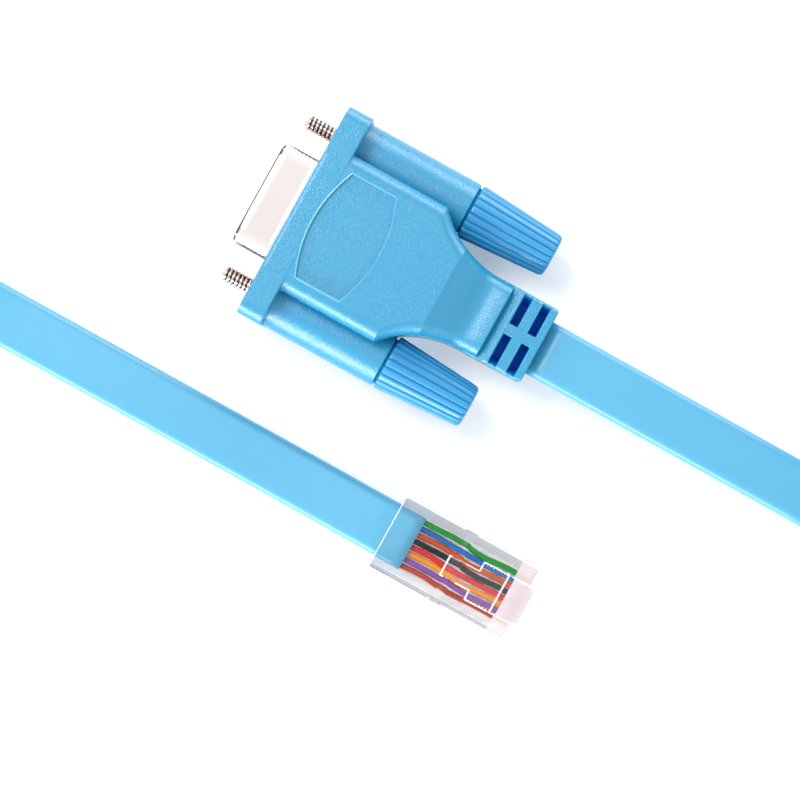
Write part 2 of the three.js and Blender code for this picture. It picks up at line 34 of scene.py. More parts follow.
# Hood moulding
HOOD_HEIGHT = 15.5
AXIS_HEIGHT = HOOD_HEIGHT / 2
FLANGE_HALF = 16.75
FLANGE_FRONT = -17.2
FLANGE_BACK = -13.35
FLANGE_CORNER = 2.2
BODY_FRONT = FLANGE_FRONT + 0.4
BODY_HALF = 10.9
BODY_CORNER = 2.2
SHOULDER = 1.85
TOP_END = 7.05
NECK_END = 15.75
NECK_SCOOP = 0.8
SCOOP_MIDDLE = 12.2
SCOOP_REACH = 1.9
NECK_HALF = 5.9
NECK_HALF_HEIGHT = 4.8
NECK_POWER = 3
NECK_SWEEP = 2
BARREL_RADIUS = 4.1
BARREL_END = 4.6
RELIEF_END = 23.1
RELIEF_HALF = 6.0
RELIEF_HALF_HEIGHT = 4.0
RELIEF_CORNER = 0.5
RELIEF_ROUND = 0.9
RELIEF_REACH = 6
RELIEF_DIP = 0.75
RELIEF_DIP_LENGTH = 1.5
WINDOWS = (17.65, 20.6)
WINDOW_WIDTH = 1.25
WINDOW_DEPTH = 2.9
WINDOW_WALL = 0.3
WINDOW_LEAN = 0.45
BRIDGE_HALF = 0.85
BADGE_FRONT = -12.1
BADGE_REAR = -5.1
BADGE_HALF = 8.3
BADGE_BOW = 1.8
BADGE_DEPTH = 0.42
RIM_SIDES = 60

# Nine-way socket
SHELL_HALF_WIDTH = 8.165
SHELL_HALF_HEIGHT = 3.95
SHELL_LEAN = math.radians(10)
SHELL_SLANT = math.tan(SHELL_LEAN)
SHELL_CORNER = 2.4
SHELL_WALL = 0.5
SHELL_FRONT = -23.1
SHELL_BACK = -11.9
SHELL_ROOT = 0.9
SEAT_ROOM = 0.3
POCKET_ROOM = 0.4
POCKET_CORNER = 2.6
POCKET_END = -11.5
PLATE_HALF = (15.4, 6.25)
PLATE_CORNER = 2.5
PLATE_THICKNESS = 0.8
INSERT_FRONT = SHELL_FRONT + 0.15
INSERT_BACK = -13.4
INSERT_ROOM = 0.12
ENTRY_RADIUS = 0.52
ENTRY_FUNNEL = 0.35
CONTACT_START = SHELL_FRONT + 1.1
CONTACT_LENGTH = 7
CONTACT_RADIUS = 0.8
CONTACT_BORE = 0.5
CONTACT_PITCH = 2.77
CONTACT_ROW_GAP = 2.84

# Thumbscrews
SCREW_Y = 12.495
SCREW_RADIUS = 1.42
SCREW_TIP = -22.1
SCREW_END = 13.9
SCREW_PITCH = 0.635
THREAD_DEPTH = 0.42
THREAD_LENGTH = 9.5
THREAD_STEPS = 12
ROOT_SHARE = 0.78
KNOB_START = 4.9
KNOB_HUB = 3.6
KNOB_BORE_END = 14.2
KNOB_CLEARANCE = 0.03
KNOB_END = 18.55
KNOB_NEAR_RADIUS = 4.2
KNOB_FAR_RADIUS = 3.25
KNOB_FLUTES = 20
FLUTE_DEPTH = 0.36
FLUTE_POWER = 7

# Flat cable
CABLE_WIDTH = 8.5
CABLE_THICKNESS = 2.5

# Coil of the spare length
COIL_CENTRE = (100.0, 33.8)
COIL_OUTER = 35.0
COIL_PITCH = 3.1
COIL_LAYER_TURNS = 2.75
COIL_LOW = 4.25
COIL_LAYER_HEIGHT = 8.8
COIL_HEIGHT = 17.3
TIE_INNER = 24.9
TIE_OUTER = 36.25
TIE_HALF_WIDTH = 4.0
TIE_THICKNESS = 0.7
TIE_CORNER = 1.0
TIE_HEIGHT = COIL_HEIGHT + 1.7
TIE_LIFT = 0.72

# Modular plug
PLUG_Y = -33.95
PLUG_REAR = 16.8
PLUG_FRONT = 39.05
PLUG_HALF = 5.84
PLUG_LOW = 6.6
PLUG_HIGH = 8.0
PLUG_STEP = 27.15
JACKET_END = 21.1
JACKET_Z = 2.9
WIRE_PITCH = 1.02
WIRE_RADIUS = 0.43
WIRE_END = 36.75
WIRE_COUNT = 8
WIRE_SIDES = 20
GROOVE = (35.33, 35.45)
GROOVE_HALF = 3.1
GROOVE_DEPTH = 0.2
LATCH_NOSE = PLUG_FRONT + 0.8
LATCH_LENGTH = 13.6
LATCH_RISE = 4.3
LATCH_THICKNESS = 1.3
LATCH_HALF = 3.125
LATCH_TAB_HALF = 1.625
LATCH_SHOULDER = 31.15
LATCH_CORNER = 0.8
BLADE_THICKNESS = 0.3
BLADE_LENGTH = 5.6
BLADE_LOW = 0.5
BLADE_ROUND = 0.9

# Points of the flat cable: x, y, z and the roll, 0 lying flat and 90 on edge
HOOD_LEAD = (
    (23.2, 0, 7.75, 0), (30, 0, 7.74, 0), (37, 0, 7.68, 0), (44, 0, 7.55, 0),
    (51, 0, 7.35, 0), (58, 0, 7.1, 0), (64, 0, 6.8, 0), (68, 0, 6.55, 3),
    (72, -0.15, 6.15, 20), (76, -0.5, 5.6, 46), (80, -0.85, 5.05, 70), (84, -1.1, 4.6, 85),
)
PLUG_LEAD = (
    (84.5, 68.8, 12.9, 90), (74, 68.7, 12.1, 90), (64, 68.4, 10.4, 90), (54, 68, 8.4, 90),
    (44, 67.6, 6.5, 90), (34, 67.3, 5.1, 90), (22, 67.1, 4.4, 90), (8, 67, 4.27, 90),
    (-8, 67, 4.27, 90), (-24, 67, 4.27, 90), (-40, 67, 4.27, 90), (-54, 67, 4.27, 90),
    (-66, 65.4, 4.27, 90), (-77, 59.6, 4.27, 90), (-85.5, 50.2, 4.27, 90), (-89.6, 38, 4.27, 90),
    (-90, 24, 4.27, 90), (-90, 8, 4.27, 90), (-89, -5, 4.27, 90), (-85.6, -15.5, 4.3, 88),
    (-79.6, -23.6, 4.24, 76), (-71.6, -29.4, 3.82, 54), (-63, -32.7, 2.84, 28), (-55, -33.8, 1.85, 8),
    (-48, -33.95, 1.42, 0), (-38, -33.95, 1.27, 0), (-26, -33.95, 1.27, 0), (-14, -33.95, 1.3, 0),
    (-4, -33.95, 1.45, 0), (4, -33.95, 1.8, 0), (11, -33.95, 2.35, 0), (16.5, -33.95, 2.78, 0),
    (21.1, -33.95, 2.9, 0),
)

# Brightness of the surround above and to the hood's two sides
WORLD_ABOVE = 0.95
WORLD_ASIDE = 1.15

# Display colours of the steel: plated, painted dark reflection on the shell's edges, cut, and painted
# shade down in the thread
PLATED_STEEL = (249, 241, 238)
PAINTED_DARK_REFLECTION_STEEL = (104, 100, 98)
CUT_STEEL = (226, 216, 213)
THREAD_PAINTED_SHADE_STEEL = (96, 86, 84)

# Wires from one side of the plug to the other, with their display colours
WIRE_COLOURS = (
    ("wire_brown", (158, 58, 40)),
    ("wire_purple", (122, 70, 150)),
    ("wire_yellow", (218, 134, 0)),
    ("wire_red", (200, 18, 14)),
    ("wire_black", (4, 3, 4)),
    ("wire_orange", (186, 66, 0)),
    ("wire_blue", (0, 92, 160)),
    ("wire_green", (0, 132, 36)),
)

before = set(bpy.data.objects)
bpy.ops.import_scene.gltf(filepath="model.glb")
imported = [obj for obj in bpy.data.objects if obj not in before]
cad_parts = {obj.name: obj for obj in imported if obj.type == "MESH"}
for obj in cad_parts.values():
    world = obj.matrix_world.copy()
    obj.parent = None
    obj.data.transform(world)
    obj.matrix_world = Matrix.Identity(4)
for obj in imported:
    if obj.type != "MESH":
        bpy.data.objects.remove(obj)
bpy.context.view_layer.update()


# Materials
def linear(rgb):
    """A display colour of 0 to 255 as the linear colour of a shader."""
    channels = [c / 255 for c in rgb]
    return tuple(c / 12.92 if c < 0.04045 else ((c + 0.055) / 1.055) ** 2.4 for c in channels) + (1.0,)


def shader(name, rgb, roughness, **sockets):
    """A material with its own shader, and values for the shader's other sockets."""
    material = bpy.data.materials.new(name)
    material.use_nodes = True
    bsdf = material.node_tree.nodes["Principled BSDF"]
    bsdf.inputs["Base Color"].default_value = linear(rgb)
    bsdf.inputs["Roughness"].default_value = roughness
    for socket, value in sockets.items():
        bsdf.inputs[socket.replace("_", " ")].default_value = value
    material.diffuse_color = linear(rgb)
    return material


def noise(material, scale, detail=2.0):
    """A noise pattern fixed to the object, its scale counted per metre."""
    nodes = material.node_tree.nodes
    links = material.node_tree.links
    place = nodes.new("ShaderNodeTexCoord")
    pattern = nodes.new("ShaderNodeTexNoise")
    pattern.inputs["Scale"].default_value = scale
    pattern.inputs["Detail"].default_value = detail
    links.new(place.outputs["Object"], pattern.inputs["Vector"])
    return pattern.outputs["Fac"]


def grain(material, scale, height, strength=1.0, detail=2.0):
    """Raises a fine grain on a material, its height in millimetres."""
    nodes = material.node_tree.nodes
    bump = nodes.new("ShaderNodeBump")
    bump.inputs["Strength"].default_value = strength
    bump.inputs["Distance"].default_value = height * MM
    material.node_tree.links.new(noise(material, scale, detail), bump.inputs["Height"])
    bsdf = nodes["Principled BSDF"]
    material.node_tree.links.new(bump.outputs["Normal"], bsdf.inputs["Normal"])


def vary(material, socket, scale, low, high):
    """Lets a number of the shader wander between two values over the surface."""
    nodes = material.node_tree.nodes
    ranging = nodes.new("ShaderNodeMapRange")
    ranging.inputs["From Min"].default_value = 0.3
    ranging.inputs["From Max"].default_value = 0.7
    ranging.inputs["To Min"].default_value = low
    ranging.inputs["To Max"].default_value = high
    material.node_tree.links.new(noise(material, scale), ranging.inputs["Value"])
    bsdf = nodes["Principled BSDF"]
    material.node_tree.links.new(ranging.outputs["Result"], bsdf.inputs[socket])


def tint(material, scale, dark, light):
    """Lets the colour wander between two display colours over the surface."""
    nodes = material.node_tree.nodes
    mix = nodes.new("ShaderNodeMix")
    mix.data_type = "RGBA"
    mix.inputs["A"].default_value = linear(dark)
    mix.inputs["B"].default_value = linear(light)
    material.node_tree.links.new(noise(material, scale), mix.inputs["Factor"])
    bsdf = nodes["Principled BSDF"]
    material.node_tree.links.new(mix.outputs["Result"], bsdf.inputs["Base Color"])


def hood_moulding():
    material = shader("hood_moulding", (20, 132, 172), 0.26, Specular_IOR_Level=0.9)
    tint(material, 900, (18, 131, 171), (22, 133, 173))
    vary(material, "Roughness", 1500, 0.22, 0.3)
    grain(material, 5200, 0.06)
    return material


def recess_painted_shade():
    """A darker, duller blue down in the strain relief's windows: painted shade for the recesses."""
    material = shader("recess_painted_shade", (0, 94, 200), 0.6, Specular_IOR_Level=0.1)
    tint(material, 900, (0, 92, 198), (0, 96, 202))
    grain(material, 4000, 0.02)
    return material


def rim_painted_highlight():
    """The bead round the badge recess, coloured lighter than the hood as a painted highlight."""
    material = shader("rim_painted_highlight", (58, 158, 196), 0.25, Specular_IOR_Level=0.9)
    vary(material, "Roughness", 1500, 0.2, 0.3)
    return material


def knob_moulding():
    material = shader("knob_moulding", (6, 132, 186), 0.38, Specular_IOR_Level=0.9)
    vary(material, "Roughness", 900, 0.32, 0.45)
    grain(material, 5000, 0.012)
    return material


def cable_jacket():
    material = shader("cable_jacket", (68, 152, 188), 0.4, Specular_IOR_Level=0.8)
    vary(material, "Roughness", 700, 0.32, 0.42)
    grain(material, 1600, 0.008)
    return material


def nickel_steel(name="nickel_steel", rgb=PLATED_STEEL):
    material = shader(name, rgb, 0.1, Metallic=1.0)
    vary(material, "Roughness", 300, 0.08, 0.12)
    return material


def drawn_steel():
    """The socket shell's steel, darker on its side walls and round its front lip as a painted dark
    reflection.
    """
    material = nickel_steel("drawn_steel")
    nodes = material.node_tree.nodes
    links = material.node_tree.links
    place = nodes.new("ShaderNodeTexCoord")
    parts = nodes.new("ShaderNodeSeparateXYZ")
    links.new(place.outputs["Object"], parts.inputs["Vector"])
    aside = nodes.new("ShaderNodeMath")
    aside.operation = "ABSOLUTE"
    links.new(parts.outputs["Y"], aside.inputs[0])
    # Masks for the painted dark reflection: the side walls and the front lip
    shares = []
    side = SHELL_HALF_WIDTH - 0.1
    lip = SHELL_FRONT + 0.3
    spans = (
        (aside.outputs["Value"], side - 0.3, side - 0.05),
        (parts.outputs["X"], lip + 0.2, lip))
    for value, start, end in spans:
        share = nodes.new("ShaderNodeMapRange")
        share.inputs["From Min"].default_value = start * MM
        share.inputs["From Max"].default_value = end * MM
        links.new(value, share.inputs["Value"])
        shares.append(share.outputs["Result"])
    most = nodes.new("ShaderNodeMath")
    most.operation = "MAXIMUM"
    links.new(shares[0], most.inputs[0])
    links.new(shares[1], most.inputs[1])
    mix = nodes.new("ShaderNodeMix")
    mix.data_type = "RGBA"
    mix.inputs["A"].default_value = linear(PLATED_STEEL)
    mix.inputs["B"].default_value = linear(PAINTED_DARK_REFLECTION_STEEL)
    links.new(most.outputs["Value"], mix.inputs["Factor"])
    links.new(mix.outputs["Result"], nodes["Principled BSDF"].inputs["Base Color"])
    return material


def socket_insulator():
    material = shader("socket_insulator", (30, 31, 34), 0.5)
    vary(material, "Roughness", 900, 0.42, 0.58)
    grain(material, 4000, 0.01)
    return material


def gold_plate():
    material = shader("gold_plate", (226, 184, 92), 0.22, Metallic=1.0)
    vary(material, "Roughness", 2000, 0.16, 0.3)
    return material


def clear_plastic():
    material = shader("clear_plastic", (250, 250, 252), 0.0, IOR=1.42, Transmission_Weight=1.0)
    material.node_tree.nodes["Principled BSDF"].inputs["Specular IOR Level"].default_value = 0.15
    vary(material, "Roughness", 500, 0.0, 0.02)
    return material


def wall_plastic_painted_shade():
    """The plug's thick side walls, the clear plastic tinted greyer than its top as painted shade."""
    material = shader("wall_plastic_painted_shade", (208, 212, 222), 0.0, IOR=1.45, Transmission_Weight=1.0)
    vary(material, "Roughness", 500, 0.0, 0.04)
    return material


def hazy_plastic():
    """The clear plastic where the contacts and the end of the latch make it milky."""
    material = shader("hazy_plastic", (222, 210, 215), 0.3, Transmission_Weight=0.5)
    vary(material, "Roughness", 900, 0.25, 0.4)
    return material


# White bevels of the clear plug: a painted highlight for the bright lines along its edges
def painted_highlight_edge():
    material = shader("painted_highlight_edge", (252, 252, 253), 0.5)
    vary(material, "Roughness", 500, 0.4, 0.6)
    return material


def tie_fabric():
    material = shader("tie_fabric", (34, 36, 40), 0.85, Sheen_Weight=0.4)
    vary(material, "Roughness", 1500, 0.75, 0.95)
    grain(material, 3000, 0.08)
    return material


def wire_coating(slot, rgb):
    material = shader(slot, rgb, 0.4, Specular_IOR_Level=0.15)
    vary(material, "Roughness", 1500, 0.34, 0.48)
    return material


# Meshes
def piece(name, points, faces, material, smooth=True, normals=None):
    """An object from places in millimetres."""
    mesh = bpy.data.meshes.new(name)
    mesh.from_pydata((np.asarray(points, float) * MM).tolist(), [], [list(f) for f in faces])
    mesh.polygons.foreach_set("use_smooth", [smooth] * len(mesh.polygons))
    mesh.materials.append(material)
    mesh.update()
    if normals is not None:
        mesh.normals_split_custom_set_from_vertices(normals.tolist())
    item = bpy.data.objects.new(name, mesh)
    bpy.context.scene.collection.objects.link(item)
    return item


def stand_for(item, body, slot, *nodes):
    """Puts a piece on its body in place of the frame's nodes; its finish slot is not used."""
    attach(item, body)
    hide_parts(*nodes)


def skin(rings, closed_along=False):
    """Faces between rings of equally many places, with caps on open ends."""
    rows, count = rings
    faces = []
    for r in range(rows if closed_along else rows - 1):
        for i in range(count):
            j = (i + 1) % count
            a = r * count
            b = ((r + 1) % rows) * count
            faces.append((a + i, a + j, b + j, b + i))
    if not closed_along:
        faces.append(list(reversed(range(count))))
        faces.append([(rows - 1) * count + i for i in range(count)])
    return faces


def part_of(name, points, faces, chosen, material, normals=None):
    """An object from only the chosen faces."""
    kept = np.unique(faces[chosen])
    numbers = np.full(len(points), -1)
    numbers[kept] = np.arange(len(kept))
    kept_normals = None if normals is None else normals[kept]
    return piece(name, points[kept], numbers[faces[chosen]], material, normals=kept_normals)


def turn(count):
    """So many even angles of a full turn."""
    return np.linspace(0, 2 * math.pi, count, endpoint=False)


def ring_at(x, y, z, radius, angles):
    """Places round a line along X, with one radius or one for each angle."""
    return np.column_stack([
        np.full(len(angles), x), y + radius * np.cos(angles), z + radius * np.sin(angles)])


def turned(outline, y, z, count):
    """A turned piece about a line along X, from pairs of place along X and radius."""
    rows = [ring_at(x, y, z, radius, turn(count)) for x, radius in outline]
    return np.concatenate(rows), skin((len(rows), count))


# Rounded shapes given as a field, below nought inside
def round_box(u, v, half_u, half_v, radius):
    du = np.abs(u) - half_u + radius
    dv = np.abs(v) - half_v + radius
    outside = np.hypot(np.maximum(du, 0), np.maximum(dv, 0))
    return outside + np.minimum(np.maximum(du, dv), 0) - radius


def between(x, low, high):
    return np.abs(x - (low + high) / 2) - (high - low) / 2


def join(a, b, radius):
    """Both shapes, with a fillet where they meet."""
    near = np.hypot(np.maximum(radius - a, 0), np.maximum(radius - b, 0))
    return np.maximum(radius, np.minimum(a, b)) - near


def meet(a, b, radius):
    """What the shapes share, with a rounded edge."""
    near = np.hypot(np.maximum(radius + a, 0), np.maximum(radius + b, 0))
    return np.minimum(-radius, np.maximum(a, b)) + near


def shift(shape, axis, steps):
    """Slices that line up edges along an axis with the cells beside them."""
    slices = []
    for other in range(3):
        size = shape[other] - 1
        start = 0 if other == axis else steps[(other - axis - 1) % 3]
        slices.append(slice(start, start + size))
    return tuple(slices)


def net(field, xs, ys, zs):
    """One closed skin where a field is nought, as places, four-cornered faces and normals."""
    places = np.meshgrid(xs, ys, zs, indexing="ij")
    values = field(*places)
    shape = values.shape
    total = np.zeros((shape[0] - 1, shape[1] - 1, shape[2] - 1, 3))
    count = np.zeros(total.shape[:3])
    crossings = []
    for axis in range(3):
        low = tuple(slice(0, -1) if a == axis else slice(None) for a in range(3))
        high = tuple(slice(1, None) if a == axis else slice(None) for a in range(3))
        v0 = values[low]
        v1 = values[high]
        crossed = (v0 < 0) != (v1 < 0)
        share = np.where(crossed, v0 / np.where(crossed, v0 - v1, 1), 0)
        spots = np.stack([p[low] + share * (p[high] - p[low]) for p in places], -1)
        spots *= crossed[..., None]
        for steps in ((0, 0), (1, 0), (0, 1), (1, 1)):
            part = shift(shape, axis, steps)
            total += spots[part]
            count += crossed[part]
        crossings.append((crossed, v0 < 0))
    active = count > 0
    index = np.full(active.shape, -1)
    index[active] = np.arange(active.sum())
    points = total[active] / count[active][:, None]
    faces = []
    for axis in range(3):
        crossed, starts_inside = crossings[axis]
        inner = tuple(slice(None) if a == axis else slice(1, -1) for a in range(3))
        where = np.argwhere(crossed[inner])
        where += [0 if a == axis else 1 for a in range(3)]
        step_u = np.eye(3, dtype=int)[(axis + 1) % 3]
        step_v = np.eye(3, dtype=int)[(axis + 2) % 3]
        corners = [where - step_u - step_v, where - step_v, where, where - step_u]
        quads = np.stack([index[tuple(c.T)] for c in corners], 1)
        outwards = starts_inside[tuple(where.T)]
        quads[~outwards] = quads[~outwards][:, ::-1]
        faces.append(quads)
    points = settle(field, points, 0.12)
    normals = slope(field, points)
    normals /= np.linalg.norm(normals, axis=1)[:, None]
    return points, np.concatenate(faces), normals


def graded(stops):
    """Grid places from stops and the step between each and the next."""
    parts = []
    for low, step, high in zip(stops[:-2:2], stops[1:-1:2], stops[2::2]):
        parts.append(np.linspace(low, high, max(int(round((high - low) / step)), 1), endpoint=False))
    return np.concatenate(parts + [[stops[-1]]])


def slope(field, points, reach=0.02):
    parts = []
    for axis in range(3):
        step = np.zeros(3)
        step[axis] = reach
        parts.append((field(*(points + step).T) - field(*(points - step).T)) / (2 * reach))
    return np.stack(parts, 1) + 1e-9


def settle(field, points, limit):
    """Moves places onto the surface of a field."""
    start = points.copy()
    for _ in range(4):
        fall = slope(field, points)
        value = field(*points.T)
        points = points - fall * (value / (fall ** 2).sum(1))[:, None]
        points = start + np.clip(points - start, -limit, limit)
    return points


# Hood moulding
def body_half_width(x):
    t = np.clip((x - SHOULDER) / (NECK_END - SHOULDER), 0, 1)
    return NECK_HALF + (BODY_HALF - NECK_HALF) * (1 - t) ** NECK_POWER


def body_half_height(x):
    t = np.clip((x - TOP_END) / (NECK_END - TOP_END), 0, 1)
    sweep = (AXIS_HEIGHT - NECK_HALF_HEIGHT) * (1 - t) ** NECK_SWEEP
    scoop = NECK_SCOOP * np.exp(-(((x - SCOOP_MIDDLE) / SCOOP_REACH) ** 2))
    return NECK_HALF_HEIGHT + sweep - scoop


def badge_field(x, y):
    """The bowed outline of the badge recess."""
    bow = BADGE_BOW * (1 - (y / BADGE_HALF) ** 2)
    ends = np.maximum(BADGE_FRONT - bow - x, x - BADGE_REAR - bow)
    return np.maximum(ends * 0.9, np.abs(y) - BADGE_HALF)


def relief_field(x, y, h):
    """The ribbed strain relief, with the same windows above and below."""
    dip = RELIEF_DIP * np.clip(1 - (x - NECK_END) / RELIEF_DIP_LENGTH, 0, 1)
    relief = round_box(y, h, RELIEF_HALF, RELIEF_HALF_HEIGHT, RELIEF_ROUND)
    relief = np.maximum(relief, np.abs(h) - RELIEF_HALF_HEIGHT + dip)
    ends = round_box(x - RELIEF_END + RELIEF_REACH, y, RELIEF_REACH, RELIEF_HALF, RELIEF_CORNER)
    relief = meet(relief, np.maximum(ends, NECK_END - 2 - x), 0.25)
    for start in WINDOWS:
        window = np.maximum(between(x, start, start + WINDOW_WIDTH), BRIDGE_HALF - np.abs(y))
        window = np.maximum(window, RELIEF_HALF_HEIGHT - WINDOW_DEPTH - np.abs(h))
        lean = WINDOW_LEAN * (RELIEF_HALF_HEIGHT - np.abs(h))
        wall = (np.abs(y) - RELIEF_HALF + WINDOW_WALL + lean) * 0.9
        relief = meet(relief, -np.maximum(window, wall), 0.08)
    return relief


def hood_cuts(x, y, z):
    """What is cut out of the hood, below nought inside, each with the rounding of its edge."""
    h = z - AXIS_HEIGHT
    bores = np.hypot(np.abs(y) - SCREW_Y, h) - SCREW_RADIUS - SCREW_ROOM
    half_width, half_height = PLATE_HALF
    seat = round_box(
        y, h, half_width + SEAT_ROOM, half_height + SEAT_ROOM, PLATE_CORNER + SEAT_ROOM)
    seat = np.maximum(seat, x - FLANGE_FRONT - PLATE_THICKNESS - SEAT_ROOM)
    pocket = round_box(
        y, h, SHELL_HALF_WIDTH + POCKET_ROOM, SHELL_HALF_HEIGHT + POCKET_ROOM, POCKET_CORNER)
    pocket = np.maximum(pocket, x - POCKET_END)
    badge = np.maximum(badge_field(x, y), HOOD_HEIGHT - BADGE_DEPTH - z)
    return (bores, 0.05), (seat, 0.12), (pocket, 0.1), (badge, 0.08)


def hood_field(x, y, z):
    h = z - AXIS_HEIGHT
    flange = round_box(y, h, FLANGE_HALF, AXIS_HEIGHT, FLANGE_CORNER)
    flange = meet(flange, between(x, FLANGE_FRONT, FLANGE_BACK), EDGE_ROUND)
    solid = round_box(y, h, body_half_width(x), body_half_height(x), BODY_CORNER)
    solid = meet(solid, between(x, BODY_FRONT, NECK_END), EDGE_ROUND)
    solid = join(solid, relief_field(x, y, h), INNER_FILLET)
    solid = join(solid, flange, INNER_FILLET)
    barrels = np.hypot(np.abs(y) - SCREW_Y, h) - BARREL_RADIUS
    barrels = meet(barrels, between(x, BODY_FRONT, BARREL_END), 0.2)
    solid = join(solid, barrels, INNER_FILLET)
    for cut, rounding in hood_cuts(x, y, z):
        solid = meet(solid, -cut, rounding)
    return solid


def build_hood():
    xs = graded((
        -17.5, 0.1, -16.9, 0.3, -13.7, 0.1, -13.1, 0.22, -1.4, 0.3,
        4.6, 0.12, 5.2, 0.3, 15.5, 0.12, 23.4))
    ys = graded((-16.9, 0.26, -8.9, 0.2, -7.9, 0.28, 7.9, 0.2, 8.9, 0.26, 17.1))
    zs = graded((-0.3, 0.4, 8, 0.26, 14.9, 0.09, 15.8))
    points, faces, normals = net(hood_field, xs, ys, zs)
    x, y, z = points[faces].mean(axis=1).T
    # Faces down in the relief windows, which take the painted shade
    painted_shade_faces = np.abs(z - AXIS_HEIGHT) < RELIEF_HALF_HEIGHT - 1
    painted_shade_faces &= (np.abs(y) < RELIEF_HALF - WINDOW_WALL) & (x < RELIEF_END - 0.5)
    painted_shade_faces &= x > WINDOWS[0] - 0.3
    hood = part_of("hood_skin", points, faces, ~painted_shade_faces, hood_moulding(), normals)
    stand_for(hood, "cable", "hood_moulding", "hood")
    windows = part_of("hood_windows_painted_shade", points, faces, painted_shade_faces, recess_painted_shade(), normals)
    stand_for(windows, "cable", "hood_moulding")
    stand_for(build_badge_rim(), "cable", "hood_moulding")


def build_badge_rim():
    """The crisp rim round the badge recess, from its wall to a low bead on the hood's top."""
    outline = []
    for end, direction in ((BADGE_REAR, 1), (BADGE_FRONT, -1)):
        for share in np.linspace(-direction, direction, RIM_SIDES):
            outline.append((end + direction * BADGE_BOW * (1 - share ** 2), share * BADGE_HALF))
    outline = np.array(outline)
    along = np.roll(outline, -1, axis=0) - outline
    along /= np.linalg.norm(along, axis=1)[:, None]
    before = np.roll(along, 1, axis=0)
    out = np.column_stack([along[:, 1] + before[:, 1], -along[:, 0] - before[:, 0]])
    out /= (1 + (along * before).sum(axis=1))[:, None]
    section = (
        (0.26, -0.1), (0.24, 0.0), (0.18, 0.06), (0.08, 0.08), (0.0, 0.03),
        (-0.03, -BADGE_DEPTH), (-0.05, -BADGE_DEPTH - 0.1), (0.26, -BADGE_DEPTH - 0.1))
    rows = []
    for grow, rise in section:
        places = outline + out * grow
        rows.append(np.column_stack([places, np.full(len(places), HOOD_HEIGHT + rise)]))
    faces = skin((len(rows), len(outline)), closed_along=True)
    # The whole rim takes the lighter colour of the painted highlight
    return piece("hood_badge_rim", np.concatenate(rows), faces, rim_painted_highlight(), smooth=False)


# Nine-way socket
def d_outline(grow, count=16):
    """The D outline, wide side up, grown on every side, as places across and up."""
    radius = SHELL_CORNER
    rounded_off = radius * math.tan(math.radians(45) + SHELL_LEAN / 2) * math.sin(SHELL_LEAN)
    top = SHELL_HALF_WIDTH + rounded_off
    bottom = top - 2 * SHELL_HALF_HEIGHT * SHELL_SLANT
    quarter = math.pi / 2
    corners = (
        (bottom, -1, -quarter, quarter - SHELL_LEAN),
        (top, 1, -SHELL_LEAN, quarter + SHELL_LEAN),
        (-top, 1, quarter, quarter + SHELL_LEAN),
        (-bottom, -1, math.pi + SHELL_LEAN, quarter - SHELL_LEAN))
    outline = []
    for side, up, start, span in corners:
        middle = start + span / 2
        reach = radius / math.cos(span / 2)
        across = side - reach * math.cos(middle)
        height = up * SHELL_HALF_HEIGHT - reach * math.sin(middle)
        for i in range(count + 1):
            angle = start + span * i / count
            outline.append((
                across + (radius + grow) * math.cos(angle),
                height + (radius + grow) * math.sin(angle)))
    return np.array(outline)


def tube_from_outlines(stations):
    """A closed wall through D outlines, each with its place along X and its growth."""
    rows = []
    for x, grow in stations:
        y, h = d_outline(grow).T
        rows.append(np.column_stack([np.full(len(y), x), y, h + AXIS_HEIGHT]))
    return np.concatenate(rows), skin((len(rows), len(rows[0])), closed_along=True)


def build_shell():
    stations = [(SHELL_BACK, 0), (FLANGE_FRONT + 0.35, 0)]
    for angle in (1.5, 1.2, 0.9, 0.6, 0.3, 0):
        stations.append((
            FLANGE_FRONT - SHELL_ROOT + SHELL_ROOT * math.sin(angle),
            SHELL_ROOT - SHELL_ROOT * math.cos(angle)))
    stations.append((FLANGE_FRONT - 1.1, 0))
    for back, grow in ((1.5, 0), (1.2, 0), (0.9, -0.03), (0.6, -0.1)):
        stations.append((SHELL_FRONT + back, grow))
    lip = SHELL_WALL / 2
    for i in range(9):
        angle = math.pi * i / 8
        stations.append((
            SHELL_FRONT + lip - lip * math.sin(angle),
            -2 * lip + lip * math.cos(angle)))
    stations += [(SHELL_FRONT + 0.9, -SHELL_WALL - 0.05), (SHELL_BACK, -SHELL_WALL)]
    points, faces = tube_from_outlines(stations)
    shell = piece("d_shell_drawn", points, faces, drawn_steel())
    stand_for(shell, "cable", "nickel_steel", "d_shell")


def d_field(y, h, inset, half, corner):
    """The D outline as a field, drawn in from the outside of the shell."""
    slanted = SHELL_HALF_WIDTH - SHELL_HALF_HEIGHT * SHELL_SLANT + h * SHELL_SLANT - inset
    return round_box(y * half / slanted, h, half, SHELL_HALF_HEIGHT - inset, corner)


def plate_field(x, y, z):
    h = z - AXIS_HEIGHT
    flat = round_box(y, h, PLATE_HALF[0], PLATE_HALF[1], PLATE_CORNER)
    flat = meet(flat, between(x, FLANGE_FRONT, FLANGE_FRONT + PLATE_THICKNESS), EDGE_ROUND)
    holes = SCREW_RADIUS + SCREW_ROOM - np.hypot(np.abs(y) - SCREW_Y, h)
    return meet(meet(flat, holes, 0.1), -d_field(y, h, 0.3, 7.2, 2.1), 0.1)


def build_plate():
    xs = np.arange(-17.4, -16.0, 0.1)
    ys = np.arange(-15.7, 15.75, 0.2)
    zs = np.arange(1.2, 14.4, 0.2)
    points, faces, normals = net(plate_field, xs, ys, zs)
    plate = piece("d_shell_plate", points, faces, nickel_steel(), normals=normals)
    stand_for(plate, "cable", "nickel_steel")


def contact_places():
    places = []
    for count, z in ((5, CONTACT_ROW_GAP / 2), (4, -CONTACT_ROW_GAP / 2)):
        for i in range(count):
            places.append(((i - (count - 1) / 2) * CONTACT_PITCH, AXIS_HEIGHT + z))
    return places


